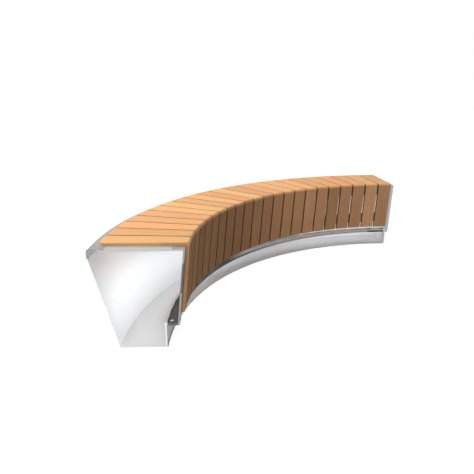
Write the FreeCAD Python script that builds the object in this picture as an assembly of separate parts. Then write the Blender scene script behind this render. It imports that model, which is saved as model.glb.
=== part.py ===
"""Tree bench: one open-ended quarter of a ring, a sheet steel body dressed with hardwood slats.

The ring's axis is vertical. Angles run from the left end, which is open so that another
quarter can be bolted to it, to the right end, which an end plate closes. The concave side is
the front, where the sitter's legs are. All sizes are in millimetres.
"""
import FreeCAD
import Part
import math
import os

Vector = FreeCAD.Vector

# Overall sizes
seat_height = 450.0
segment_angle = 90.0
body_outer_radius = 1688.0
back_strip_width = 38.5
seat_depth = 368.5

# Timber
slat_count = 22
slat_gap = 10.0
top_slat_thickness = 15.0
skirt_slat_thickness = 15.0
timber_end_margin = 21.8
end_corner_radius = 32.0
skirt_setback = 2.0
skirt_bottom_height = 146.0
skirt_lean = 0.1
nosing_radius = 12.0
arris_radius = 2.0

# Sheet wall and the coping on it
wall_thickness = 5.0
shoulder_height = 40.0
wall_lean_in = 103.0
slat_bearing = 33.0
bend_radius = 9.0

# Floor plate
floor_thickness = 6.0

# Ledge along the front, above the toe opening
ledge_width = 43.0
ledge_bottom_height = 100.0
ledge_plate_thickness = 4.0
ledge_bar_thickness = 6.0
ledge_upstand_height = 10.0
ledge_upstand_thickness = 12.0

# Rails behind and under the timber
rail_thickness = 8.0
rail_height = 64.0
lower_rail_bottom_height = 180.0
seat_rail_width = 45.0
seat_rail_thickness = 5.0

# End pieces and ribs
left_strip_width = 60.0
cross_bar_width = 30.0
cross_bar_depth = 12.0
end_plate_thickness = 6.0
end_plate_flange_width = 30.0
toe_post_width = 180.0
toe_post_thickness = 6.0
toe_post_setback = 3.0
rib_thickness = 6.0
rib_slats = (8, 15)
rib_wall_bottom_height = 210.0
gusset_leg = 36.0
gusset_thickness = 5.0

# Fasteners and joining holes
screw_radius = 2.5
screw_head_radius = 5.5
screw_head_height = 3.0
screw_length = 17.0
ledge_hole_radius = 5.5
ledge_hole_from_end = 25.5
ledge_hole_from_back = 16.0
wall_hole_radius = 9.0
wall_hole_from_end = 97.0
wall_hole_height = 165.0

# Sizes worked out from the ones above
steel_top_height = seat_height - top_slat_thickness
shoulder_bottom_height = steel_top_height - shoulder_height
timber_back_radius = body_outer_radius - back_strip_width
timber_front_radius = timber_back_radius - seat_depth
wall_base_radius = body_outer_radius - wall_lean_in
timber_margin_angle = math.degrees(timber_end_margin / timber_front_radius)
timber_angle = segment_angle - 2.0 * timber_margin_angle
pitch_angle = timber_angle / slat_count
half_pitch = math.radians(pitch_angle) / 2.0
wall_slope = wall_lean_in / shoulder_bottom_height
flange_inner_radius = timber_back_radius - slat_bearing
skirt_top_radius = timber_front_radius + skirt_setback
ledge_top_height = ledge_bottom_height + ledge_plate_thickness + ledge_bar_thickness
upper_rail_bottom_height = steel_top_height - rail_height
ring_centre = Vector(body_outer_radius / 2.0, -body_outer_radius / 2.0, 0.0)
trim_reach = 2.0 * body_outer_radius


def wall_radius(height, inset=0.0):
    """Radius of the sloping wall at a height, for a face set in from its outside."""
    return wall_base_radius + wall_slope * height - inset * math.hypot(1.0, wall_slope)


def skirt_radius(height, depth=0.0):
    """Distance from the axis to a leaning skirt plane at a height, set back by a depth."""
    return skirt_top_radius + skirt_lean * (steel_top_height - height) + depth


# The curved rails touch the flat slats at the slats' side edges, so they sit back by the bow.
slat_bow = skirt_radius(skirt_bottom_height, skirt_slat_thickness) * (1.0 / math.cos(half_pitch) - 1.0)
rail_front_depth = skirt_slat_thickness + slat_bow
rail_middle_depth = rail_front_depth + rail_thickness / 2.0
rail_back_depth = rail_front_depth + rail_thickness
ledge_front_radius = skirt_radius(ledge_bottom_height, rail_back_depth)
floor_front_radius = ledge_front_radius + ledge_width
seat_rail_front_radius = skirt_radius(steel_top_height, rail_back_depth)
seat_rail_back_radius = seat_rail_front_radius + seat_rail_width


def wall_corner_height():
    """Height where the wall's inner face meets the shoulder's inner face."""
    return (body_outer_radius - wall_thickness - wall_radius(0.0, wall_thickness)) / wall_slope


def section_point(radius, height):
    """A point of the radial section that is drawn at the left end."""
    return Vector(-radius, 0.0, height)


def rounded_face(corners):
    """Radial section from corners (radius, height, rounding), with each rounding an arc."""
    edges = []
    starts = []
    ends = []
    mids = []
    count = len(corners)
    for index in range(count):
        before = section_point(*corners[index - 1][:2])
        here = section_point(*corners[index][:2])
        after = section_point(*corners[(index + 1) % count][:2])
        rounding = corners[index][2]
        to_before = (before - here).normalize()
        to_after = (after - here).normalize()
        if rounding == 0.0:
            starts.append(here)
            ends.append(here)
            mids.append(None)
            continue
        half_corner = to_before.getAngle(to_after) / 2.0
        tangent_length = rounding / math.tan(half_corner)
        bisector = (to_before + to_after).normalize()
        centre_distance = rounding / math.sin(half_corner)
        starts.append(here + to_before * tangent_length)
        ends.append(here + to_after * tangent_length)
        mids.append(here + bisector * (centre_distance - rounding))
    for index in range(count):
        if mids[index] is not None:
            edges.append(Part.Arc(starts[index], mids[index], ends[index]).toShape())
        following = starts[(index + 1) % count]
        if ends[index].distanceToPoint(following) > 0.001:
            edges.append(Part.LineSegment(ends[index], following).toShape())
    return Part.Face(Part.Wire(edges))


def sharp_face(points):
    """Radial section from (radius, height) corners with no rounding."""
    return rounded_face([(radius, height, 0.0) for radius, height in points])


def turned(shape, angle):
    """The shape turned round the ring's axis, away from the left end."""
    copy = shape.copy()
    copy.rotate(Vector(0.0, 0.0, 0.0), Vector(0.0, 0.0, 1.0), -angle)
    return copy


def swept_round(face, angle=segment_angle):
    """A section swept round the ring's axis from the left end."""
    return face.revolve(Vector(0.0, 0.0, 0.0), Vector(0.0, 0.0, 1.0), -angle)


def beyond_right_end(width):
    """Everything past a plane that lies a width before the right end."""
    return Part.makeBox(
        trim_reach, 2.0 * trim_reach, 2.0 * seat_height,
        Vector(-width, -trim_reach, -seat_height / 2.0),
    )


def swept_to_end_plate(face):
    """A section swept from the left end to the inner face of the right end plate."""
    return swept_round(face).cut(beyond_right_end(end_plate_thickness))


def slab(width, angle=0.0, start=0.0):
    """A slab across the ring, parallel to the radial plane at an angle."""
    box = Part.makeBox(
        trim_reach, width, 2.0 * seat_height, Vector(-trim_reach, start, -seat_height / 2.0))
    return turned(box, angle)


def crosswise(face, width, angle=0.0, start=0.0):
    """The stretch of a swept section that lies inside a slab."""
    return swept_round(face).common(slab(width, angle, start)).Solids[0]


def upright_cylinder(radius_from_axis, angle, bottom, height, radius):
    """A vertical cylinder at a radius and angle of the ring."""
    cylinder = Part.makeCylinder(radius, height, section_point(radius_from_axis, bottom))
    return turned(cylinder, angle)


def slat_angle(index):
    """Angle of a slat's centre line."""
    return timber_margin_angle + (index + 0.5) * pitch_angle


def top_fixing_radii():
    """Radii of the two screws under a top slat."""
    inner = (seat_rail_front_radius + seat_rail_back_radius) / 2.0
    outer = (flange_inner_radius + timber_back_radius) / 2.0
    return (inner, outer)


def skirt_fixing_heights():
    """Heights of the two screws behind a skirt slat."""
    half = rail_height / 2.0
    return (lower_rail_bottom_height + half, upper_rail_bottom_height + half)


def top_fixing(radius, angle, head):
    """A screw, or the hole for one, that rises through a support into a top slat."""
    start = section_point(radius, steel_top_height - seat_rail_thickness)
    return turned(screw(start, Vector(0.0, 0.0, 1.0), head), angle)


def skirt_fixing(height, angle, head):
    """A screw, or the hole for one, that passes through a rail into a skirt slat."""
    slope = math.hypot(1.0, skirt_lean)
    direction = Vector(1.0 / slope, 0.0, -skirt_lean / slope)
    start = section_point(skirt_radius(height, rail_back_depth), height)
    return turned(screw(start, direction, head), angle)


def screw(start, direction, head):
    """A pan-headed wood screw from under its head at a point, or its bare shank."""
    body = Part.makeCylinder(screw_radius, screw_length, start, direction)
    if not head:
        return body
    under = start - direction * screw_head_height
    return body.fuse(Part.makeCylinder(screw_head_radius, screw_head_height, under, direction))


def all_top_fixings(radii, head):
    """The screws, or their holes, at the given radii under every top slat."""
    return [
        top_fixing(radius, slat_angle(index), head)
        for index in range(slat_count)
        for radius in radii
    ]


def all_skirt_fixings(heights, head):
    """The screws, or their holes, at the given heights behind every skirt slat."""
    return [
        skirt_fixing(height, slat_angle(index), head)
        for index in range(slat_count)
        for height in heights
    ]


def slat_wedge():
    """The space between two neighbouring gaps, as a prism along the left end's section."""
    reach = body_outer_radius
    offset = slat_gap / 2.0 / math.cos(half_pitch)
    tip = offset / math.tan(half_pitch)
    half_width = reach * math.tan(half_pitch) - offset
    outline = Part.makePolygon([
        Vector(-tip, 0.0, 0.0),
        Vector(-reach, -half_width, 0.0),
        Vector(-reach, half_width, 0.0),
        Vector(-tip, 0.0, 0.0),
    ])
    return Part.Face(outline).extrude(Vector(0.0, 0.0, seat_height + nosing_radius))


def cut_slat(face):
    """A slat of a radial section, cut to the wedge between its two gaps."""
    width = body_outer_radius * math.tan(half_pitch)
    bar = face.extrude(Vector(0.0, 2.0 * width, 0.0))
    bar.translate(Vector(0.0, -width, 0.0))
    return bar.common(slat_wedge()).Solids[0]


def eased(slat, is_kept):
    """The slat with its long shown arrises rounded; is_kept picks them by their middle."""
    chosen = []
    for edge in slat.Edges:
        middle = edge.valueAt((edge.FirstParameter + edge.LastParameter) / 2.0)
        half_gap = slat_gap / 2.0
        side_distance = abs(middle.y) * math.cos(half_pitch) + middle.x * math.sin(half_pitch) + half_gap
        if abs(side_distance) < 0.01 and is_kept(-middle.x, middle.z):
            chosen.append(edge)
    return slat.makeFillet(arris_radius, chosen)


def make_top_slat():
    """A top slat at the left end's section: straight ends with rounded noses."""
    top = seat_height
    bottom = steel_top_height
    face = rounded_face([
        (timber_front_radius, bottom, arris_radius),
        (timber_front_radius, top, nosing_radius),
        (timber_back_radius, top, nosing_radius),
        (timber_back_radius, bottom, arris_radius),
    ])
    above = bottom + arris_radius + 0.5
    return eased(cut_slat(face), lambda radius, height: height > above)


def corner_plan(side):
    """A tall prism of a slat's plan, with the outer corner on one side rounded off."""
    reach = 2.0 * timber_back_radius
    box = Part.makeBox(reach, reach, reach, Vector(-timber_back_radius, -reach / 2.0, -reach / 2.0))
    prism = slat_wedge().common(box)
    chosen = []
    for edge in prism.Edges:
        middle = edge.valueAt((edge.FirstParameter + edge.LastParameter) / 2.0)
        is_upright = abs(edge.Vertexes[0].Z - edge.Vertexes[-1].Z) > seat_height
        if is_upright and abs(middle.x + timber_back_radius) < 0.01 and middle.y * side > 0.0:
            chosen.append(edge)
    return prism.makeFillet(end_corner_radius, chosen)


def make_skirt_slat():
    """A skirt slat at the left end's section: it leans with the front of the body."""
    top = steel_top_height
    low = skirt_bottom_height
    face = rounded_face([
        (skirt_radius(low), low, arris_radius),
        (skirt_radius(top), top, 0.0),
        (skirt_radius(top, skirt_slat_thickness), top, 0.0),
        (skirt_radius(low, skirt_slat_thickness), low, arris_radius),
    ])
    front = skirt_slat_thickness / 2.0
    return eased(cut_slat(face), lambda radius, height: radius < skirt_radius(height, front))


def make_outer_wall():
    """Sloping sheet wall from the floor plate up to the coping's shoulder."""
    face = sharp_face([
        (wall_radius(floor_thickness), floor_thickness),
        (body_outer_radius, shoulder_bottom_height),
        (wall_radius(shoulder_bottom_height, wall_thickness), shoulder_bottom_height),
        (wall_radius(floor_thickness, wall_thickness), floor_thickness),
    ])
    return swept_to_end_plate(face).cut(wall_hole())


def make_top_coping():
    """Folded angle along the top of the wall, with a corner gusset at the open end."""
    outer_bend = bend_radius + wall_thickness
    under = steel_top_height - wall_thickness
    inside = body_outer_radius - wall_thickness
    face = rounded_face([
        (body_outer_radius, shoulder_bottom_height, 0.0),
        (body_outer_radius, steel_top_height, outer_bend),
        (flange_inner_radius, steel_top_height, 0.0),
        (flange_inner_radius, under, 0.0),
        (inside, under, bend_radius),
        (inside, shoulder_bottom_height, 0.0),
    ])
    middle = wall_thickness / 2.0
    gusset = sharp_face([
        (inside + middle, under + middle),
        (inside + middle, shoulder_bottom_height),
        (inside, shoulder_bottom_height),
        (inside - gusset_leg, under),
        (inside - gusset_leg, under + middle),
    ])
    holes = Part.makeCompound(all_top_fixings(top_fixing_radii()[1:], False))
    coping = swept_to_end_plate(face).fuse(crosswise(gusset, gusset_thickness))
    return coping.removeSplitter().cut(holes)


def wall_hole():
    """The joining hole through the sloping wall near the open end."""
    slope = math.hypot(1.0, wall_slope)
    outward = Vector(-1.0 / slope, 0.0, -wall_slope / slope)
    outside = section_point(wall_radius(wall_hole_height), wall_hole_height)
    reach = 2.0 * wall_thickness
    drill = Part.makeCylinder(wall_hole_radius, 2.0 * reach, outside - outward * reach, outward)
    angle = math.degrees(wall_hole_from_end / wall_radius(wall_hole_height))
    return turned(drill, angle)


def make_floor_plate():
    """Flat plate that the bench stands on."""
    face = sharp_face([
        (floor_front_radius, 0.0),
        (wall_base_radius, 0.0),
        (wall_radius(floor_thickness), floor_thickness),
        (floor_front_radius, floor_thickness),
    ])
    return swept_to_end_plate(face)


def ledge_front(height):
    """Radius of the ledge's front edge, which leans with the skirt."""
    return skirt_radius(height, rail_back_depth)


def ledge_hole():
    """The joining hole through the ledge near the open end."""
    middle = floor_front_radius - ledge_hole_from_back
    angle = math.degrees(ledge_hole_from_end / middle)
    drill_length = 2.0 * (ledge_plate_thickness + ledge_bar_thickness)
    bottom = ledge_bottom_height - ledge_plate_thickness
    return upright_cylinder(middle, angle, bottom, drill_length, ledge_hole_radius)


def make_ledge_angle():
    """Curved angle under the ledge, with an upstand along its back."""
    plate_top = ledge_bottom_height + ledge_plate_thickness
    upstand_top = plate_top + ledge_upstand_height
    back = floor_front_radius + ledge_upstand_thickness
    face = sharp_face([
        (ledge_front(ledge_bottom_height), ledge_bottom_height),
        (back, ledge_bottom_height),
        (back, upstand_top),
        (floor_front_radius, upstand_top),
        (floor_front_radius, plate_top),
        (ledge_front(plate_top), plate_top),
    ])
    return swept_to_end_plate(face).cut(ledge_hole())


def make_ledge_bar():
    """Dark flat bar that lies on the ledge angle, in front of its upstand."""
    plate_top = ledge_bottom_height + ledge_plate_thickness
    face = sharp_face([
        (ledge_front(plate_top), plate_top),
        (floor_front_radius, plate_top),
        (floor_front_radius, ledge_top_height),
        (ledge_front(ledge_top_height), ledge_top_height),
    ])
    return swept_to_end_plate(face).cut(ledge_hole())


def make_skirt_rail(bottom):
    """Curved flat rail behind the skirt slats, leaning with them."""
    top = bottom + rail_height
    face = sharp_face([
        (skirt_radius(bottom, rail_front_depth), bottom),
        (skirt_radius(top, rail_front_depth), top),
        (skirt_radius(top, rail_back_depth), top),
        (skirt_radius(bottom, rail_back_depth), bottom),
    ])
    holes = Part.makeCompound(all_skirt_fixings([bottom + rail_height / 2.0], False))
    return swept_round(face).cut(beyond_right_end(end_plate_flange_width)).cut(holes)


def make_seat_rail():
    """Curved flat that carries the front ends of the top slats."""
    bottom = steel_top_height - seat_rail_thickness
    face = sharp_face([
        (skirt_radius(bottom, rail_back_depth), bottom),
        (seat_rail_back_radius, bottom),
        (seat_rail_back_radius, steel_top_height),
        (seat_rail_front_radius, steel_top_height),
    ])
    holes = Part.makeCompound(all_top_fixings(top_fixing_radii()[:1], False))
    return swept_to_end_plate(face).cut(holes)


def make_left_cross_bar():
    """Bar across the top of the body at the open end, notched over the rail and the coping."""
    low = steel_top_height - cross_bar_depth
    under = steel_top_height - seat_rail_thickness
    outer = body_outer_radius - wall_thickness - gusset_leg
    face = sharp_face([
        (skirt_radius(low, rail_back_depth), low),
        (outer, low),
        (outer, under),
        (flange_inner_radius, under),
        (flange_inner_radius, steel_top_height),
        (seat_rail_back_radius, steel_top_height),
        (seat_rail_back_radius, under),
        (skirt_radius(under, rail_back_depth), under),
    ])
    return crosswise(face, cross_bar_width)


def make_left_toe_post():
    """Curved plate at the open end that holds the ledge above the floor plate."""
    front = floor_front_radius + toe_post_setback
    back = front + toe_post_thickness
    face = sharp_face([
        (front, floor_thickness),
        (back, floor_thickness),
        (back, ledge_bottom_height),
        (front, ledge_bottom_height),
    ])
    return crosswise(face, toe_post_width)


def skirt_upright_face(low, top):
    """Section of an upright in the plane of the skirt rails."""
    return sharp_face([
        (skirt_radius(low, rail_front_depth), low),
        (skirt_radius(top, rail_front_depth), top),
        (skirt_radius(top, rail_back_depth), top),
        (skirt_radius(low, rail_back_depth), low),
    ])


def make_left_skirt_upright():
    """Leaning plate at the open end, from the ledge's front edge to the lower rail."""
    face = skirt_upright_face(ledge_bottom_height, lower_rail_bottom_height)
    return crosswise(face, left_strip_width)


def make_left_stile():
    """Leaning plate at the open end, between the two skirt rails."""
    face = skirt_upright_face(lower_rail_bottom_height + rail_height, upper_rail_bottom_height)
    return crosswise(face, left_strip_width)


def make_right_end_plate():
    """Plate that closes the right end, with a flange beside the last skirt slat."""
    outer_bend = bend_radius + wall_thickness
    low = ledge_bottom_height
    face = rounded_face([
        (floor_front_radius, 0.0, 0.0),
        (wall_base_radius, 0.0, 0.0),
        (body_outer_radius, shoulder_bottom_height, 0.0),
        (body_outer_radius, steel_top_height, outer_bend),
        (skirt_radius(steel_top_height, rail_middle_depth), steel_top_height, 0.0),
        (skirt_radius(low, rail_middle_depth), low, 0.0),
        (floor_front_radius, low, 0.0),
    ])
    plate = turned(face.extrude(Vector(0.0, -end_plate_thickness, 0.0)), segment_angle)
    flange_face = skirt_upright_face(low, steel_top_height)
    flange = crosswise(
        flange_face, end_plate_flange_width, segment_angle, -end_plate_flange_width)
    return plate.fuse(flange).removeSplitter()


def make_rib(slat):
    """Bracket plate from the outer wall to the skirt rails and the ledge's upstand."""
    upstand_top = ledge_bottom_height + ledge_plate_thickness + ledge_upstand_height
    back = floor_front_radius + ledge_upstand_thickness
    under_top = steel_top_height - seat_rail_thickness
    inner_side = body_outer_radius - wall_thickness
    face = rounded_face([
        (floor_front_radius, upstand_top, 0.0),
        (back, upstand_top, 0.0),
        (wall_radius(rib_wall_bottom_height, wall_thickness), rib_wall_bottom_height, 0.0),
        (inner_side, wall_corner_height(), 0.0),
        (inner_side, under_top, bend_radius),
        (skirt_radius(under_top, rail_back_depth), under_top, 0.0),
        (skirt_radius(lower_rail_bottom_height, rail_back_depth), lower_rail_bottom_height, 0.0),
    ])
    angle = slat_angle(slat - 1) + pitch_angle / 4.0
    return crosswise(face, rib_thickness, angle, -rib_thickness / 2.0)


def export(name, shape):
    """Put a piece into the part's frame and write it."""
    placed = shape.copy()
    placed.translate(ring_centre)
    placed.exportStep(os.path.join("parts", name + ".step"))
    volume = sum(solid.Volume for solid in placed.Solids)
    print(f"{name}: {len(placed.Solids)} solid(s), {volume / 1000.0:.1f} cm3, valid {placed.isValid()}")


def main():
    """Build every piece and write one file for each node."""
    os.makedirs("parts", exist_ok=True)
    export("outer_wall", make_outer_wall())
    export("top_coping", make_top_coping())
    export("floor_plate", make_floor_plate())
    export("ledge_angle", make_ledge_angle())
    export("ledge_bar", make_ledge_bar())
    export("skirt_rail_lower", make_skirt_rail(lower_rail_bottom_height))
    export("skirt_rail_upper", make_skirt_rail(upper_rail_bottom_height))
    export("seat_rail", make_seat_rail())
    export("left_cross_bar", make_left_cross_bar())
    export("left_toe_post", make_left_toe_post())
    export("left_skirt_upright", make_left_skirt_upright())
    export("left_stile", make_left_stile())
    export("right_end_plate", make_right_end_plate())
    for number, slat in enumerate(rib_slats, start=1):
        export(f"rib_{number}", make_rib(slat))
    screws = all_top_fixings(top_fixing_radii(), True)
    screws += all_skirt_fixings(skirt_fixing_heights(), True)
    export("slat_screws", Part.makeCompound(screws))

    top_slat = make_top_slat()
    for radius in top_fixing_radii():
        top_slat = top_slat.cut(top_fixing(radius, 0.0, False))
    skirt_slat = make_skirt_slat()
    for height in skirt_fixing_heights():
        skirt_slat = skirt_slat.cut(skirt_fixing(height, 0.0, False))
    first_top_slat = top_slat.common(corner_plan(-1.0)).Solids[0]
    last_top_slat = top_slat.common(corner_plan(1.0)).Solids[0]
    top_slats = [first_top_slat] + [top_slat] * (slat_count - 2) + [last_top_slat]
    for index in range(slat_count):
        export(f"top_slat_{index + 1:02d}", turned(top_slats[index], slat_angle(index)))
        export(f"skirt_slat_{index + 1:02d}", turned(skirt_slat, slat_angle(index)))


main()
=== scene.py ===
"""Looks of the tree bench: oiled timber boards on a powder-coated steel body, in a pale studio."""

import logging
import math
from dataclasses import dataclass
from enum import Enum

import bmesh
import bpy
from mathutils import Matrix, Vector


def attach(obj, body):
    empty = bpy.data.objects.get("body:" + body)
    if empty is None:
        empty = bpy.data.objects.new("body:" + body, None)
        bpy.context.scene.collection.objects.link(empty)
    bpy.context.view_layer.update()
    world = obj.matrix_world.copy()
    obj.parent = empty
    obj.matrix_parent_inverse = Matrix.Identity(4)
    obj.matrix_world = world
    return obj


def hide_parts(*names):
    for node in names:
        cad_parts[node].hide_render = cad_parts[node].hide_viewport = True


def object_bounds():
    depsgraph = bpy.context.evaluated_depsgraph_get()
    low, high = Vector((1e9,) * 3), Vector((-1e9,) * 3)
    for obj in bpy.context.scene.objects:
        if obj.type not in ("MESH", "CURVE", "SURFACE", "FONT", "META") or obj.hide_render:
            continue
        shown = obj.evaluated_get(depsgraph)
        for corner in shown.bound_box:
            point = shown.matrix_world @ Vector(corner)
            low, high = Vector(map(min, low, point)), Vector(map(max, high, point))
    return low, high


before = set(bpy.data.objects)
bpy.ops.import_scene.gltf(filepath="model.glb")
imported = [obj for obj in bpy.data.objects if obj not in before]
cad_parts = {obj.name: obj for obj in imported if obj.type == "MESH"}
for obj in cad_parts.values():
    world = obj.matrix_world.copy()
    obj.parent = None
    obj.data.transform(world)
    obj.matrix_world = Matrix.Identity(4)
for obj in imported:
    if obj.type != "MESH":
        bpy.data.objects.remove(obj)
cad_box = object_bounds()

log = logging.getLogger("tree_bench")

Colour = tuple[float, float, float]


class BoardRun(Enum):
    """Which way a board's grain runs."""

    SEAT = "seat"
    SKIRT = "skirt"


@dataclass(frozen=True)
class Ring:
    """Sizes of the ring that every board and fastener is set out from, in metres."""

    centre_x: float
    centre_y: float
    front_radius: float = 1.281
    end_margin: float = 0.0218
    sweep: float = math.pi / 2
    boards: int = 22

    @property
    def margin_angle(self) -> float:
        """Angle between the steel's end and the first board."""
        return self.end_margin / self.front_radius

    @property
    def pitch(self) -> float:
        """Angle from one board to the next."""
        return (self.sweep - 2 * self.margin_angle) / self.boards

    def board_angle(self, number: int) -> float:
        """Angle of a board's centre line.

        Args:
            number: the board's place along the ring, from 0 at the left end.

        Returns:
            The angle from the left end, in radians.
        """
        return self.margin_angle + (number + 0.5) * self.pitch

    def place(self, angle: float) -> Matrix:
        """Frame at the ring's axis whose -X runs out along a radius.

        Args:
            angle: the radius's angle from the left end, in radians.

        Returns:
            The matrix that carries left-end coordinates to that radius.
        """
        centre = Matrix.Translation(Vector((self.centre_x, self.centre_y, 0)))
        return centre @ Matrix.Rotation(-angle, 4, "Z")


class NodeSheet:
    """Small helper that adds nodes to one shader tree and joins them."""

    def __init__(self, tree: bpy.types.NodeTree) -> None:
        """Keep the tree to draw in."""
        self.tree = tree

    def add(self, kind: str, **settings: object) -> bpy.types.Node:
        """Add a node.

        Args:
            kind: the node's type name without its ShaderNode prefix.
            settings: attributes to set on the node.

        Returns:
            The new node.
        """
        node = self.tree.nodes.new("ShaderNode" + kind)
        for name, value in settings.items():
            setattr(node, name, value)
        return node

    def feed(self, socket: bpy.types.NodeSocket, source: object) -> None:
        """Join a source to an input socket, or set the socket's own value."""
        if isinstance(source, bpy.types.NodeSocket):
            self.tree.links.new(source, socket)
        elif source is not None:
            socket.default_value = source

    def maths(self, operation: str, a: object, b: object = None, c: object = None) -> bpy.types.NodeSocket:
        """Add a Math node.

        Args:
            operation: the node's operation.
            a: first value or socket.
            b: second value or socket.
            c: third value or socket.

        Returns:
            The result socket.
        """
        node = self.add("Math", operation=operation)
        for socket, source in zip(node.inputs, (a, b, c)):
            self.feed(socket, source)
        return node.outputs[0]

    def ranged(
            self, value: object, low: float, high: float, to_low: float, to_high: float,
    ) -> bpy.types.NodeSocket:
        """Map a value from one range to another, clamped.

        Args:
            value: socket to map.
            low: value that gives to_low.
            high: value that gives to_high.
            to_low: result at low.
            to_high: result at high.

        Returns:
            The mapped socket.
        """
        node = self.add("MapRange")
        self.feed(node.inputs["Value"], value)
        node.inputs["From Min"].default_value = low
        node.inputs["From Max"].default_value = high
        node.inputs["To Min"].default_value = to_low
        node.inputs["To Max"].default_value = to_high
        return node.outputs["Result"]

    def noise(
            self, vector: object, scale: float, detail: float = 2.0, roughness: float = 0.5,
    ) -> bpy.types.NodeSocket:
        """Add a noise texture.

        Args:
            vector: coordinates.
            scale: texture scale per metre.
            detail: octaves.
            roughness: weight of the fine octaves.

        Returns:
            The factor socket.
        """
        node = self.add("TexNoise")
        self.feed(node.inputs["Vector"], vector)
        node.inputs["Scale"].default_value = scale
        node.inputs["Detail"].default_value = detail
        node.inputs["Roughness"].default_value = roughness
        return node.outputs["Fac"]

    def mix(self, factor: object, a: object, b: object, blend: str = "MIX") -> bpy.types.NodeSocket:
        """Mix two colours.

        Args:
            factor: mix factor.
            a: first colour.
            b: second colour.
            blend: blend type.

        Returns:
            The colour socket.
        """
        node = self.add("Mix", data_type="RGBA", blend_type=blend)
        self.feed(node.inputs["Factor"], factor)
        self.feed(node.inputs[6], opaque(a))
        self.feed(node.inputs[7], opaque(b))
        return node.outputs[2]

    def vector(self, x: object, y: object, z: object) -> bpy.types.NodeSocket:
        """Combine three values into a vector.

        Args:
            x: first part.
            y: second part.
            z: third part.

        Returns:
            The vector socket.
        """
        node = self.add("CombineXYZ")
        for socket, source in zip(node.inputs, (x, y, z)):
            self.feed(socket, source)
        return node.outputs[0]

    def stretched(self, vector: object, x: float, y: float, z: float) -> bpy.types.NodeSocket:
        """Scale coordinates by a different amount on each axis.

        Args:
            vector: coordinates.
            x: scale on X.
            y: scale on Y.
            z: scale on Z.

        Returns:
            The scaled vector socket.
        """
        node = self.add("VectorMath", operation="MULTIPLY")
        self.feed(node.inputs[0], vector)
        node.inputs[1].default_value = (x, y, z)
        return node.outputs[0]


def opaque(colour: object) -> object:
    """Add full alpha to a plain colour and leave a socket as it is."""
    return (*colour, 1.0) if isinstance(colour, tuple) and len(colour) == 3 else colour


class EffectGroup:
    """A named shader node group, drawn once and placed in many materials."""

    title = "effect"
    inputs: tuple[tuple[str, str, object], ...] = ()
    outputs: tuple[tuple[str, str], ...] = ()

    def __init__(self) -> None:
        """Make the group's sockets and draw its inside."""
        self.tree = bpy.data.node_groups.new(self.title, "ShaderNodeTree")
        for name, kind, value in self.inputs:
            socket = self.tree.interface.new_socket(name, in_out="INPUT", socket_type=kind)
            if value is not None:
                socket.default_value = value
        for name, kind in self.outputs:
            self.tree.interface.new_socket(name, in_out="OUTPUT", socket_type=kind)
        sheet = NodeSheet(self.tree)
        self.draw(sheet, sheet_in(self.tree), sheet_out(self.tree))

    def draw(self, sheet: NodeSheet, given: dict[str, object], result: dict[str, object]) -> None:
        """Draw the nodes inside the group."""
        raise NotImplementedError

    def use(self, sheet: NodeSheet, **values: object) -> dict[str, bpy.types.NodeSocket]:
        """Place the group in a material.

        Args:
            sheet: the material's node sheet.
            values: sockets or values for the inputs, with underscores for spaces.

        Returns:
            The group's output sockets by name.
        """
        node = sheet.add("Group", node_tree=self.tree)
        for name, value in values.items():
            sheet.feed(node.inputs[name.replace("_", " ")], value)
        return {socket.name: socket for socket in node.outputs}


def sheet_in(tree: bpy.types.NodeTree) -> dict[str, object]:
    """Sockets that bring a group's inputs in, by name."""
    node = tree.nodes.new("NodeGroupInput")
    return {socket.name: socket for socket in node.outputs if socket.name}


def sheet_out(tree: bpy.types.NodeTree) -> dict[str, object]:
    """Sockets that take a group's results out, by name."""
    node = tree.nodes.new("NodeGroupOutput")
    return {socket.name: socket for socket in node.inputs if socket.name}


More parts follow.
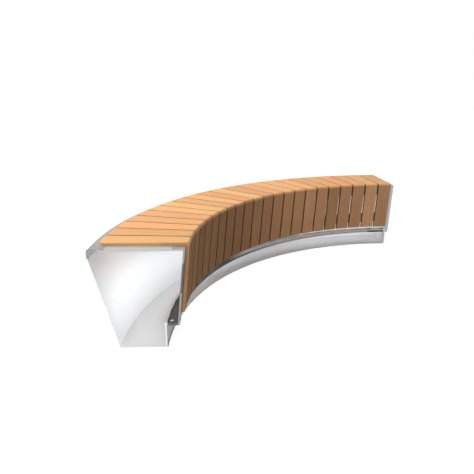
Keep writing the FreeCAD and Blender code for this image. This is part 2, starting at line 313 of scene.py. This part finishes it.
class RingPlace(EffectGroup):
    """Turns object coordinates into one straight board's own: along its radius and across it."""

    title = "ring_place"
    inputs = (
        ("Place", "NodeSocketVector", None),
        ("Centre X", "NodeSocketFloat", 0.0),
        ("Centre Y", "NodeSocketFloat", 0.0),
        ("Margin", "NodeSocketFloat", 0.0),
        ("Pitch", "NodeSocketFloat", 0.1),
    )
    outputs = (
        ("Outward", "NodeSocketFloat"),
        ("Across", "NodeSocketFloat"),
        ("Up", "NodeSocketFloat"),
        ("Board", "NodeSocketFloat"),
        ("Angle", "NodeSocketFloat"),
        ("Side", "NodeSocketFloat"),
    )

    def draw(self, sheet: NodeSheet, given: dict[str, object], result: dict[str, object]) -> None:
        """Work out radius, angle, board number, the board's own coordinates and a mask of its side faces."""
        parts = sheet.add("SeparateXYZ")
        sheet.feed(parts.inputs[0], given["Place"])
        x = sheet.maths("SUBTRACT", given["Centre X"], parts.outputs[0])
        y = sheet.maths("SUBTRACT", parts.outputs[1], given["Centre Y"])
        squares = sheet.maths("ADD", sheet.maths("MULTIPLY", x, x), sheet.maths("MULTIPLY", y, y))
        radius = sheet.maths("SQRT", squares)
        angle = sheet.maths("ARCTAN2", y, x)
        turns = sheet.maths("DIVIDE", sheet.maths("SUBTRACT", angle, given["Margin"]), given["Pitch"])
        board = sheet.maths("FLOOR", turns)
        from_middle = sheet.maths("SUBTRACT", sheet.maths("SUBTRACT", turns, board), 0.5)
        swing = sheet.maths("MULTIPLY", from_middle, given["Pitch"])
        sheet.feed(result["Outward"], sheet.maths("MULTIPLY", radius, sheet.maths("COSINE", swing)))
        sheet.feed(result["Across"], sheet.maths("MULTIPLY", radius, sheet.maths("SINE", swing)))
        sheet.feed(result["Up"], parts.outputs[2])
        sheet.feed(result["Board"], board)
        sheet.feed(result["Angle"], angle)
        facing = sheet.add("VectorMath", operation="DOT_PRODUCT")
        sheet.feed(facing.inputs[0], sheet.add("NewGeometry").outputs["Normal"])
        along_ring = sheet.vector(sheet.maths("SINE", angle), sheet.maths("COSINE", angle), 0.0)
        sheet.feed(facing.inputs[1], along_ring)
        sideways = sheet.maths("ABSOLUTE", facing.outputs["Value"])
        sheet.feed(result["Side"], sheet.ranged(sideways, 0.35, 0.75, 0.0, 1.0))


class BoardGrain(EffectGroup):
    """Hardwood grain on coordinates whose X runs along the board."""

    title = "board_grain"
    inputs = (
        ("Grain", "NodeSocketVector", None),
        ("Board", "NodeSocketFloat", 0.0),
        ("Seed", "NodeSocketFloat", 0.0),
    )
    outputs = (
        ("Figure", "NodeSocketFloat"),
        ("Fibre", "NodeSocketFloat"),
        ("Pore", "NodeSocketFloat"),
        ("Shade", "NodeSocketFloat"),
        ("Warmth", "NodeSocketFloat"),
        ("Height", "NodeSocketFloat"),
    )

    def draw(self, sheet: NodeSheet, given: dict[str, object], result: dict[str, object]) -> None:
        """Draw the figure, the fibres and pores, and two random values for each board."""
        number = sheet.maths("ADD", given["Board"], given["Seed"])
        chance = sheet.add("TexWhiteNoise", noise_dimensions="1D")
        sheet.feed(chance.inputs["W"], number)
        second = sheet.add("TexWhiteNoise", noise_dimensions="1D")
        sheet.feed(second.inputs["W"], sheet.maths("ADD", number, 57.3))
        shift = sheet.add("VectorMath", operation="MULTIPLY_ADD")
        sheet.feed(shift.inputs[0], chance.outputs["Color"])
        shift.inputs[1].default_value = (7.0, 7.0, 7.0)
        sheet.feed(shift.inputs[2], given["Grain"])
        grain = shift.outputs[0]

        sway = sheet.noise(sheet.stretched(grain, 2.2, 9.0, 9.0), 1.0, 2.0)
        rings = sheet.add("TexWave", wave_type="BANDS", bands_direction="Y", wave_profile="SAW")
        sheet.feed(rings.inputs["Vector"], sheet.stretched(grain, 0.10, 1.0, 0.7))
        rings.inputs["Scale"].default_value = 16.0
        rings.inputs["Distortion"].default_value = 5.0
        rings.inputs["Detail"].default_value = 2.5
        rings.inputs["Detail Scale"].default_value = 1.6
        fibre = sheet.noise(sheet.stretched(grain, 6.0, 260.0, 260.0), 1.0, 3.0, 0.6)
        streak = sheet.noise(sheet.stretched(grain, 2.0, 60.0, 60.0), 1.0, 2.0)
        pore_noise = sheet.noise(sheet.stretched(grain, 45.0, 900.0, 900.0), 1.0, 1.0)
        pore = sheet.ranged(pore_noise, 0.60, 0.70, 0.0, 1.0)
        broad = sheet.maths("MULTIPLY", rings.outputs["Fac"], 0.4)
        broad = sheet.maths("ADD", broad, sheet.maths("MULTIPLY", sway, 0.6))
        figure = sheet.maths("MULTIPLY", broad, 0.6)
        figure = sheet.maths("ADD", figure, sheet.maths("MULTIPLY", streak, 0.4))
        sheet.feed(result["Figure"], sheet.ranged(figure, 0.30, 0.72, 0.0, 1.0))
        sheet.feed(result["Fibre"], fibre)
        sheet.feed(result["Pore"], pore)
        sheet.feed(result["Shade"], chance.outputs["Value"])
        sheet.feed(result["Warmth"], second.outputs["Value"])
        height = sheet.maths("MULTIPLY", sheet.maths("SUBTRACT", fibre, pore), 0.5)
        sheet.feed(result["Height"], height)


class CoatSkin(EffectGroup):
    """Skin of a sprayed coat: orange peel, broad mottle, and dust that settles on level faces."""

    title = "coat_skin"
    inputs = (("Place", "NodeSocketVector", None), ("Peel Scale", "NodeSocketFloat", 700.0))
    outputs = (
        ("Peel", "NodeSocketFloat"),
        ("Mottle", "NodeSocketFloat"),
        ("Dust", "NodeSocketFloat"),
        ("Scuff", "NodeSocketFloat"),
    )

    def draw(self, sheet: NodeSheet, given: dict[str, object], result: dict[str, object]) -> None:
        """Draw the peel, the mottle, the dust on level faces and a few scuffs."""
        peel = sheet.add("TexNoise")
        sheet.feed(peel.inputs["Vector"], given["Place"])
        sheet.feed(peel.inputs["Scale"], given["Peel Scale"])
        peel.inputs["Detail"].default_value = 1.0
        sheet.feed(result["Peel"], peel.outputs["Fac"])
        sheet.feed(result["Mottle"], sheet.noise(given["Place"], 5.0, 3.0, 0.55))
        facing = sheet.add("NewGeometry")
        upward = sheet.add("SeparateXYZ")
        sheet.feed(upward.inputs[0], facing.outputs["Normal"])
        level = sheet.ranged(upward.outputs[2], 0.6, 0.95, 0.0, 1.0)
        settled = sheet.ranged(sheet.noise(given["Place"], 38.0, 4.0, 0.65), 0.42, 0.75, 0.0, 1.0)
        sheet.feed(result["Dust"], sheet.maths("MULTIPLY", level, settled))
        scratch = sheet.noise(sheet.stretched(given["Place"], 30.0, 30.0, 260.0), 1.0, 3.0, 0.7)
        sheet.feed(result["Scuff"], sheet.ranged(scratch, 0.66, 0.76, 0.0, 1.0))


class Effects:
    """The shared node groups, drawn once."""

    def __init__(self) -> None:
        """Draw every group."""
        self.ring_place = RingPlace()
        self.board_grain = BoardGrain()
        self.coat_skin = CoatSkin()


def new_material(title: str) -> tuple[bpy.types.Material, NodeSheet, bpy.types.Node]:
    """Make an empty material around a Principled shader.

    Args:
        title: the material's name.

    Returns:
        The material, its node sheet and its Principled shader.
    """
    material = bpy.data.materials.new(title)
    material.use_nodes = True
    material.node_tree.nodes.clear()
    sheet = NodeSheet(material.node_tree)
    shader = sheet.add("BsdfPrincipled")
    output = sheet.add("OutputMaterial")
    sheet.feed(output.inputs["Surface"], shader.outputs[0])
    return material, sheet, shader


def add_bump(sheet: NodeSheet, shader: bpy.types.Node, height: object, depth: float, strength: float) -> None:
    """Feed a height into a shader's normal.

    Args:
        sheet: the material's node sheet.
        shader: the shader to bump.
        height: the height socket.
        depth: height in metres at a value of 1.
        strength: strength of the bump.
    """
    bump = sheet.add("Bump")
    bump.inputs["Strength"].default_value = strength
    bump.inputs["Distance"].default_value = depth
    sheet.feed(bump.inputs["Height"], height)
    sheet.feed(shader.inputs["Normal"], bump.outputs[0])


@dataclass(frozen=True)
class TimberFinish:
    """Oiled hardwood whose boards differ from one to the next; the board sides in the gaps and the outer side
    faces of the two end boards carry painted shade.
    """

    title: str
    run: BoardRun
    pale: Colour
    deep: Colour
    warm: Colour
    pore: Colour
    shade_low: float
    shade_high: float
    roughness: float
    seed: float
    gap_side_painted_shade: float
    end_face_painted_shade: float
    sheen: float

    def make(self, effects: Effects, ring: Ring) -> bpy.types.Material:
        """Make the timber's material.

        Args:
            effects: the shared node groups.
            ring: the ring that the boards are set out from.

        Returns:
            The material.
        """
        material, sheet, shader = new_material(self.title)
        place = sheet.add("TexCoord").outputs["Object"]
        local = effects.ring_place.use(
            sheet, Place=place, Centre_X=ring.centre_x, Centre_Y=ring.centre_y,
            Margin=ring.margin_angle, Pitch=ring.pitch)
        if self.run is BoardRun.SEAT:
            coordinates = sheet.vector(local["Outward"], local["Across"], local["Up"])
        else:
            coordinates = sheet.vector(local["Up"], local["Across"], local["Outward"])
        wood = effects.board_grain.use(sheet, Grain=coordinates, Board=local["Board"], Seed=self.seed)
        colour = sheet.mix(wood["Figure"], self.deep, self.pale)
        colour = sheet.mix(sheet.ranged(wood["Warmth"], 0.15, 0.95, 0.0, 0.75), colour, self.warm)
        fibre = sheet.ranged(wood["Fibre"], 0.25, 0.75, 0.90, 1.06)
        shade = sheet.ranged(wood["Shade"], 0.0, 1.0, self.shade_low, self.shade_high)
        # Painted shade: side faces in the gaps are darkened by the gap factor, and the outer side faces of
        # the two end boards by the end factor.
        from_middle = sheet.maths("ABSOLUTE", sheet.maths("SUBTRACT", local["Angle"], ring.sweep / 2))
        last = ring.sweep / 2 - ring.margin_angle
        side_and_end_painted_shade = sheet.ranged(from_middle, last - 0.010, last - 0.008, self.gap_side_painted_shade, self.end_face_painted_shade)
        face_painted_shade = sheet.maths("MULTIPLY_ADD", local["Side"], sheet.maths("SUBTRACT", side_and_end_painted_shade, 1.0), 1.0)
        tint = sheet.maths("MULTIPLY", sheet.maths("MULTIPLY", fibre, shade), face_painted_shade)
        colour = sheet.mix(1.0, colour, sheet.vector(tint, tint, tint), "MULTIPLY")
        colour = sheet.mix(sheet.maths("MULTIPLY", wood["Pore"], 0.35), colour, self.pore)
        sheet.feed(shader.inputs["Base Color"], colour)
        gloss = sheet.ranged(wood["Figure"], 0.0, 1.0, self.roughness + 0.07, self.roughness - 0.04)
        sheet.feed(shader.inputs["Roughness"], gloss)
        shader.inputs["Specular IOR Level"].default_value = self.sheen
        add_bump(sheet, shader, wood["Height"], 0.0006, 0.5)
        return material


@dataclass(frozen=True)
class PowderCoat:
    """Satin powder coat on sheet steel."""

    title: str
    colour: Colour
    dust: Colour
    roughness: float
    dust_share: float
    scuff_share: float

    def make(self, effects: Effects) -> bpy.types.Material:
        """Make the coat's material.

        Args:
            effects: the shared node groups.

        Returns:
            The material.
        """
        material, sheet, shader = new_material(self.title)
        place = sheet.add("TexCoord").outputs["Object"]
        skin = effects.coat_skin.use(sheet, Place=place)
        low = tuple(part * 0.975 for part in self.colour)
        colour = sheet.mix(sheet.ranged(skin["Mottle"], 0.3, 0.7, 0.0, 1.0), low, self.colour)
        colour = sheet.mix(sheet.maths("MULTIPLY", skin["Dust"], self.dust_share), colour, self.dust)
        colour = sheet.mix(sheet.maths("MULTIPLY", skin["Scuff"], self.scuff_share), colour, self.dust)
        sheet.feed(shader.inputs["Base Color"], colour)
        satin = sheet.ranged(skin["Mottle"], 0.3, 0.7, self.roughness - 0.04, self.roughness + 0.04)
        rough = sheet.maths("ADD", satin, sheet.maths("MULTIPLY", skin["Dust"], 0.15))
        sheet.feed(shader.inputs["Roughness"], rough)
        add_bump(sheet, shader, skin["Peel"], 0.0002, 0.25)
        return material


@dataclass(frozen=True)
class LedgeWithPaintedReflection:
    """Dark ledge with a painted reflection: from its middle to near its closed end its colour turns bright,
    and just short of that end its front turns near black as painted shadow.
    """

    title: str
    dark: Colour
    bright_top: Colour
    bright_front: Colour
    fade_from: float = 43.0
    fade_to: float = 51.0
    end_from: float = 84.0
    top_lead: float = 9.0
    roughness: float = 0.5
    upstand: Colour = (0.78, 0.78, 0.78)
    # Near-black painted shadow on the ledge's front faces at the closed end.
    end_painted_shadow: Colour = (0.02, 0.02, 0.02)
    upstand_radius: float = 1.3829
    painted_hole_light_radius: float = 0.0072
    hole_ring_radius: float = 1.3673
    hole_from_end: float = 0.0255

    def make(self, effects: Effects, ring: Ring) -> bpy.types.Material:
        """Make the ledge's material.

        Args:
            effects: the shared node groups.
            ring: the ring that the ledge follows.

        Returns:
            The material.
        """
        material, sheet, shader = new_material(self.title)
        place = sheet.add("TexCoord").outputs["Object"]
        local = effects.ring_place.use(
            sheet, Place=place, Centre_X=ring.centre_x, Centre_Y=ring.centre_y,
            Margin=ring.margin_angle, Pitch=ring.pitch)
        skin = effects.coat_skin.use(sheet, Place=place, Peel_Scale=1400.0)
        normal = sheet.add("SeparateXYZ")
        sheet.feed(normal.inputs[0], sheet.add("NewGeometry").outputs["Normal"])
        # Painted reflection: from fade_from to fade_to the ledge turns from its own dark colour to bright,
        # top faces leading by top_lead; past end_from the front faces turn near black as painted shadow.
        top = sheet.ranged(normal.outputs[2], 0.3, 0.7, 0.0, 1.0)
        led = sheet.maths("MULTIPLY_ADD", top, math.radians(self.top_lead), local["Angle"])
        risen = sheet.ranged(led, math.radians(self.fade_from), math.radians(self.fade_to), 0.0, 1.0)
        short_of_end = sheet.ranged(
            local["Angle"], math.radians(self.end_from - 0.4), math.radians(self.end_from + 0.4), 1.0, 0.0)
        sheen = sheet.maths("MULTIPLY", risen, sheet.maths("MAXIMUM", short_of_end, top))
        colour = sheet.mix(sheen, self.dark, sheet.mix(top, self.bright_front, self.bright_top))
        end_shadow_mask = sheet.maths("SUBTRACT", 1.0, sheet.maths("MAXIMUM", short_of_end, top))
        colour = sheet.mix(end_shadow_mask, colour, self.end_painted_shadow)
        behind = sheet.maths("GREATER_THAN", local["Outward"], self.upstand_radius)
        colour = sheet.mix(behind, colour, self.upstand)
        # Painted light: a bright disc within this radius of the ledge hole's centre stands in for the light
        # seen through the hole.
        hole_angle = self.hole_from_end / self.hole_ring_radius
        hole = ring.place(hole_angle) @ Vector((-self.hole_ring_radius, 0.0, 0.0))
        apart = sheet.add("VectorMath", operation="DISTANCE")
        sheet.feed(apart.inputs[0], sheet.stretched(place, 1.0, 1.0, 0.0))
        apart.inputs[1].default_value = hole
        near = sheet.maths("LESS_THAN", apart.outputs["Value"], self.painted_hole_light_radius)
        colour = sheet.mix(near, colour, self.bright_top)
        colour = sheet.mix(sheet.maths("MULTIPLY", skin["Scuff"], 0.3), colour, self.bright_front)
        sheet.feed(shader.inputs["Base Color"], colour)
        sheet.feed(shader.inputs["Roughness"], sheet.ranged(
            skin["Mottle"], 0.3, 0.7, self.roughness - 0.05, self.roughness + 0.08))
        shader.inputs["Specular IOR Level"].default_value = 0.15
        add_bump(sheet, shader, skin["Peel"], 0.0001, 0.2)
        return material


@dataclass(frozen=True)
class BareSteel:
    """Plain turned steel of the screws."""

    title: str
    colour: Colour
    roughness: float

    def make(self, effects: Effects) -> bpy.types.Material:
        """Make the steel's material.

        Args:
            effects: the shared node groups.

        Returns:
            The material.
        """
        material, sheet, shader = new_material(self.title)
        place = sheet.add("TexCoord").outputs["Object"]
        skin = effects.coat_skin.use(sheet, Place=place, Peel_Scale=2600.0)
        low = tuple(part * 0.85 for part in self.colour)
        sheet.feed(shader.inputs["Base Color"], sheet.mix(skin["Peel"], low, self.colour))
        shader.inputs["Metallic"].default_value = 1.0
        rough = sheet.ranged(skin["Peel"], 0.3, 0.7, self.roughness - 0.06, self.roughness + 0.06)
        sheet.feed(shader.inputs["Roughness"], rough)
        add_bump(sheet, shader, skin["Peel"], 0.0001, 0.2)
        return material


def dress(names: list[str], material: bpy.types.Material) -> None:
    """Give CAD nodes a material.

    Args:
        names: the nodes.
        material: the material for all of them.
    """
    for name in names:
        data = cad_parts[name].data
        data.materials.clear()
        data.materials.append(material)
        log.info("%s wears %s", name, material.name)


@dataclass
class SteelBody:
    """The sheet body: white wall and end pieces, pale floor plate, grey coping and rails, dark ledge; painted
    shade on the floor plate, cross bar, skirt upright and stile, and a painted reflection on the ledge.
    """

    white: PowderCoat = PowderCoat(
        title="white_coat", colour=(0.88, 0.88, 0.88), dust=(0.76, 0.755, 0.74),
        roughness=0.42, dust_share=0.14, scuff_share=0.08)
    pale: PowderCoat = PowderCoat(
        title="pale_grey_coat", colour=(0.75, 0.757, 0.765), dust=(0.70, 0.70, 0.70),
        roughness=0.45, dust_share=0.14, scuff_share=0.08)
    middle: PowderCoat = PowderCoat(
        title="middle_grey_coat", colour=(0.50, 0.50, 0.50), dust=(0.50, 0.495, 0.49),
        roughness=0.45, dust_share=0.14, scuff_share=0.08)
    grey: PowderCoat = PowderCoat(
        title="grey_coat", colour=(0.30, 0.30, 0.305), dust=(0.38, 0.375, 0.37),
        roughness=0.45, dust_share=0.25, scuff_share=0.12)
    # Painted shade: the near-black coat on the left stile stands in for the shade between the skirt rails at
    # the left end.
    dark: PowderCoat = PowderCoat(
        title="shade_painted_coat", colour=(0.075, 0.078, 0.082), dust=(0.20, 0.20, 0.20),
        roughness=0.45, dust_share=0.45, scuff_share=0.5)
    ledge: LedgeWithPaintedReflection = LedgeWithPaintedReflection(
        title="ledge_steel", dark=(0.12, 0.126, 0.136),
        bright_top=(0.88, 0.91, 0.95), bright_front=(0.50, 0.51, 0.53))
    # Painted shade: the floor plate is the same white steel, and its pale grey coat darkens it as painted
    # shade.
    pale_nodes: tuple[str, ...] = ("floor_plate",)
    # left_cross_bar is a real bar; its middle grey stands in for the shade band under the end slat, so it is
    # partly painted shade.
    middle_nodes: tuple[str, ...] = ("left_cross_bar",)
    # Painted shade: left_skirt_upright is white steel standing in shade, and its grey coat is painted shade.
    grey_nodes: tuple[str, ...] = (
        "top_coping", "seat_rail", "skirt_rail_lower", "skirt_rail_upper", "left_skirt_upright")
    shade_painted_nodes: tuple[str, ...] = ("left_stile",)
    ledge_nodes: tuple[str, ...] = ("ledge_bar", "ledge_angle")

    def build(self, effects: Effects, ring: Ring) -> None:
        """Dress every steel node.

        Args:
            effects: the shared node groups.
            ring: the ring that the body follows.
        """
        others = (self.pale_nodes, self.middle_nodes, self.grey_nodes, self.shade_painted_nodes, self.ledge_nodes)
        named = {"slat_screws"}.union(*others)
        plain = [name for name in sorted(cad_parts) if "_slat_" not in name and name not in named]
        dress(plain, self.white.make(effects))
        dress(list(self.pale_nodes), self.pale.make(effects))
        dress(list(self.middle_nodes), self.middle.make(effects))
        dress(list(self.grey_nodes), self.grey.make(effects))
        dress(list(self.shade_painted_nodes), self.dark.make(effects))
        dress(list(self.ledge_nodes), self.ledge.make(effects, ring))


@dataclass
class TimberDress:
    """The seat boards and the leaning skirt boards."""

    seat: TimberFinish = TimberFinish(
        title="seat_timber", run=BoardRun.SEAT,
        pale=(0.92, 0.52, 0.205), deep=(0.74, 0.38, 0.15), warm=(0.88, 0.40, 0.18),
        pore=(0.42, 0.20, 0.08), shade_low=0.88, shade_high=1.12, roughness=0.52,
        seed=37323.0, gap_side_painted_shade=0.60, end_face_painted_shade=0.65, sheen=0.22)
    skirt: TimberFinish = TimberFinish(
        title="skirt_timber", run=BoardRun.SKIRT,
        pale=(0.70, 0.39, 0.195), deep=(0.56, 0.30, 0.145), warm=(0.70, 0.34, 0.185),
        pore=(0.22, 0.11, 0.055), shade_low=0.82, shade_high=1.18, roughness=0.65,
        seed=13462.0, gap_side_painted_shade=0.36, end_face_painted_shade=0.86, sheen=0.04)

    def build(self, effects: Effects, ring: Ring) -> None:
        """Dress every board."""
        nodes = sorted(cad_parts)
        dress([name for name in nodes if name.startswith("top_slat_")], self.seat.make(effects, ring))
        dress([name for name in nodes if name.startswith("skirt_slat_")], self.skirt.make(effects, ring))


@dataclass
class SlatScrews:
    """Pan-head screws under the seat boards and behind the skirt boards, in metres."""

    steel: BareSteel = BareSteel(title="screw_steel", colour=(0.62, 0.62, 0.63), roughness=0.32)
    shank_radius: float = 0.0025
    length: float = 0.017
    head_radius: float = 0.0055
    head_height: float = 0.003
    socket_radius: float = 0.0024
    socket_depth: float = 0.0016
    seat_radii: tuple[float, ...] = (1.3293, 1.633)
    seat_start: float = 0.430
    skirt_heights: tuple[float, ...] = (0.212, 0.403)
    skirt_top_back: float = 1.3068
    skirt_top_height: float = 0.435
    skirt_lean: float = 0.1

    def one(self) -> bpy.types.Mesh:
        """Model one screw along +Z, with the underside of its head at the origin."""
        shape = bmesh.new()
        head = bmesh.ops.create_cone(
            shape, cap_ends=True, segments=18, radius1=self.head_radius * 0.72, radius2=self.head_radius,
            depth=self.head_height, matrix=Matrix.Translation((0, 0, -self.head_height / 2)))
        crown = [face for face in shape.faces if face.normal.z < -0.9]
        rim = [edge for edge in crown[0].edges]
        bmesh.ops.bevel(
            shape, geom=rim, offset=self.head_height * 0.35,
            affect="EDGES", segments=3, profile=0.5, material=-1)
        shape.faces.ensure_lookup_table()
        crown = [face for face in shape.faces if face.normal.z < -0.99 and len(face.verts) > 8]
        flat = max((vert.co.xy.length for vert in crown[0].verts), default=self.head_radius)
        bmesh.ops.inset_region(shape, faces=crown, thickness=flat - self.socket_radius)
        floor = bmesh.ops.extrude_discrete_faces(shape, faces=crown)["faces"]
        bmesh.ops.translate(shape, verts=list(floor[0].verts), vec=(0, 0, self.socket_depth))
        bmesh.ops.create_cone(
            shape, cap_ends=True, segments=12, radius1=self.shank_radius, radius2=self.shank_radius,
            depth=self.length, matrix=Matrix.Translation((0, 0, self.length / 2)))
        bmesh.ops.recalc_face_normals(shape, faces=shape.faces)
        mesh = bpy.data.meshes.new("one_screw")
        shape.to_mesh(mesh)
        shape.free()
        return mesh

    def places(self, ring: Ring) -> list[Matrix]:
        """Work out where every screw goes.

        Args:
            ring: the ring that the boards are set out from.

        Returns:
            One matrix for each screw.
        """
        found = []
        lean = math.atan(self.skirt_lean)
        for number in range(ring.boards):
            turn = ring.place(ring.board_angle(number))
            for radius in self.seat_radii:
                found.append(turn @ Matrix.Translation((-radius, 0, self.seat_start)))
            for height in self.skirt_heights:
                back = self.skirt_top_back + self.skirt_lean * (self.skirt_top_height - height)
                aim = Matrix.Rotation(math.pi / 2 + lean, 4, "Y")
                found.append(turn @ Matrix.Translation((-back, 0, height)) @ aim)
        return found

    def build(self, effects: Effects, ring: Ring) -> bpy.types.Object:
        """Model all the screws as one piece.

        Args:
            effects: the shared node groups.
            ring: the ring that the boards are set out from.

        Returns:
            The screws' object.
        """
        single = self.one()
        shape = bmesh.new()
        for place in self.places(ring):
            before = len(shape.verts)
            shape.from_mesh(single)
            shape.verts.ensure_lookup_table()
            bmesh.ops.transform(shape, matrix=place, verts=shape.verts[before:])
        mesh = bpy.data.meshes.new("slat_screw_set")
        shape.to_mesh(mesh)
        shape.free()
        screws = bpy.data.objects.new("slat_screw_set", mesh)
        bpy.context.scene.collection.objects.link(screws)
        mesh.materials.append(self.steel.make(effects))
        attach(screws, "root")
        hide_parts("slat_screws")
        return screws


@dataclass(frozen=True)
class Lamp:
    """A soft rectangular lamp; its places in metres and its power in watts."""

    title: str
    power: float
    place: Colour
    width: float
    height: float
    aim: Colour = (0.0, 0.0, 0.3)
    tint: Colour = (1.0, 1.0, 1.0)

    def hang(self) -> None:
        """Hang the lamp where no view shows it."""
        data = bpy.data.lights.new(self.title, "AREA")
        data.shape = "RECTANGLE"
        data.energy = self.power
        data.color = self.tint
        data.size = self.width
        data.size_y = self.height
        lamp = bpy.data.objects.new(self.title, data)
        lamp.location = self.place
        aim = Vector(self.aim) - Vector(self.place)
        lamp.rotation_euler = aim.to_track_quat("-Z", "Y").to_euler()
        lamp.visible_camera = False
        bpy.context.scene.collection.objects.link(lamp)


@dataclass
class Studio:
    """Pale floor, white surroundings, soft lamps and the camera."""

    floor_size: float = 60.0
    floor_colour: Colour = (0.30, 0.30, 0.30)
    floor_lift: float = 0.90
    sky_bright: float = 0.95
    sky_dark: float = 0.08
    sky_side: Colour = (-0.75, -0.66, 0.0)
    lamps: tuple[Lamp, ...] = (
        Lamp("key_lamp", 125.0, (-2.4, 0.4, 3.6), 3.0, 3.0),
        Lamp("front_lamp", 58.0, (-3.0, -4.0, 1.5), 2.5, 2.5, (0.2, 0.4, 0.3)),
        Lamp("end_lamp", 1.3, (-0.62, -1.40, 0.26), 0.4, 0.3, (-0.80, -0.75, 0.24)),
    )
    inner_power: float = 0.31
    inner_angles: tuple[float, ...] = (3.0, 12.0, 21.0, 31.0, 42.0, 53.0, 64.0, 74.0, 84.0)
    inner_radius: float = 1.40
    inner_height: float = 0.19
    inner_reach: float = 0.3
    inner_rise: float = 0.01
    inner_width: float = 0.23
    inner_depth: float = 0.10
    inner_tint: Colour = (0.83, 0.93, 1.0)
    camera_place: Colour = (-0.3116, -2.5733, 1.0050)
    camera_yaw: float = math.radians(1.982)
    camera_pitch: float = math.radians(16.916)
    camera_lens: float = 35.138

    def background_mask(self, sheet: NodeSheet) -> bpy.types.NodeSocket:
        """Mask of the rays that see the background: camera, mirror and glass rays."""
        path = sheet.add("LightPath")
        seen = sheet.maths("MAXIMUM", path.outputs["Is Camera Ray"], path.outputs["Is Glossy Ray"])
        return sheet.maths("MAXIMUM", seen, path.outputs["Is Transmission Ray"])

    def build_world(self) -> None:
        """Light from all round, stronger from the left front, and show white behind the bench."""
        world = bpy.data.worlds.new("studio_world")
        bpy.context.scene.world = world
        world.use_nodes = True
        world.node_tree.nodes.clear()
        sheet = NodeSheet(world.node_tree)
        shown = sheet.add("Background")
        shown.inputs["Strength"].default_value = 1.0
        shown.inputs["Color"].default_value = (1, 1, 1, 1)
        light = sheet.add("Background")
        towards = sheet.add("VectorMath", operation="DOT_PRODUCT")
        sheet.feed(towards.inputs[0], sheet.add("TexCoord").outputs["Generated"])
        towards.inputs[1].default_value = self.sky_side
        sky = sheet.ranged(towards.outputs["Value"], -0.6, 1.0, self.sky_dark, self.sky_bright)
        sheet.feed(light.inputs["Strength"], sky)
        light.inputs["Color"].default_value = (1, 1, 1, 1)
        both = sheet.add("MixShader")
        sheet.feed(both.inputs[0], self.background_mask(sheet))
        sheet.feed(both.inputs[1], light.outputs[0])
        sheet.feed(both.inputs[2], shown.outputs[0])
        sheet.feed(sheet.add("OutputWorld").inputs["Surface"], both.outputs[0])

    def build_floor(self) -> None:
        """Lay the plain pale floor, which shows near white and keeps the bench's shadow."""
        shape = bmesh.new()
        bmesh.ops.create_grid(shape, x_segments=1, y_segments=1, size=self.floor_size / 2)
        mesh = bpy.data.meshes.new("studio_floor")
        shape.to_mesh(mesh)
        shape.free()
        floor = bpy.data.objects.new("studio_floor", mesh)
        bpy.context.scene.collection.objects.link(floor)
        material, sheet, shader = new_material("studio_floor")
        shader.inputs["Base Color"].default_value = (*self.floor_colour, 1.0)
        shader.inputs["Roughness"].default_value = 0.9
        shader.inputs["Specular IOR Level"].default_value = 0.1
        lift = sheet.add("Emission")
        lifted = sheet.maths("MULTIPLY", self.background_mask(sheet), self.floor_lift)
        sheet.feed(lift.inputs["Strength"], lifted)
        total = sheet.add("AddShader")
        sheet.feed(total.inputs[0], shader.outputs[0])
        sheet.feed(total.inputs[1], lift.outputs[0])
        output = next(node for node in sheet.tree.nodes if node.type == "OUTPUT_MATERIAL")
        sheet.feed(output.inputs["Surface"], total.outputs[0])
        mesh.materials.append(material)

    def build_camera(self) -> None:
        """Stand the camera where the photo was taken from."""
        data = bpy.data.cameras.new("photo_camera")
        data.lens = self.camera_lens
        data.sensor_width = 36.0
        data.clip_end = 200.0
        camera = bpy.data.objects.new("photo_camera", data)
        camera.location = self.camera_place
        camera.rotation_euler = (math.pi / 2 - self.camera_pitch, 0.0, -self.camera_yaw)
        bpy.context.scene.collection.objects.link(camera)
        bpy.context.scene.camera = camera

    def hang_inner_lamps(self, ring: Ring) -> None:
        """Hang small lamps inside the hollow, behind the skirt, that light the wall from within.

        Args:
            ring: the ring that the hollow follows.
        """
        for degrees in self.inner_angles:
            turn = ring.place(math.radians(degrees))
            place = turn @ Vector((-self.inner_radius, 0.0, self.inner_height))
            aim = place + turn.to_3x3() @ Vector((-self.inner_reach, 0.0, self.inner_rise))
            Lamp(
                title=f"inner_lamp_{degrees:.0f}", power=self.inner_power, place=tuple(place),
                width=self.inner_width, height=self.inner_depth, aim=tuple(aim), tint=self.inner_tint).hang()

    def build(self, ring: Ring) -> None:
        """Set up the whole studio.

        Args:
            ring: the ring that the lamps inside the bench follow.
        """
        bpy.context.scene.view_settings.view_transform = "Standard"
        self.build_world()
        self.build_floor()
        for lamp in self.lamps:
            lamp.hang()
        self.hang_inner_lamps(ring)
        self.build_camera()


def main() -> None:
    """Build every sub-assembly in order and report each piece."""
    logging.basicConfig(level=logging.INFO, format="%(message)s")
    boards = sum(name.startswith("top_slat_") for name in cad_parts)
    ring = Ring(centre_x=cad_box[1][0], centre_y=cad_box[0][1], boards=boards)
    effects = Effects()
    Studio().build(ring)
    SteelBody().build(effects, ring)
    TimberDress().build(effects, ring)
    screws = SlatScrews().build(effects, ring)
    log.info("%s: %d faces", screws.name, len(screws.data.polygons))


if __name__ == "__main__":
    main()
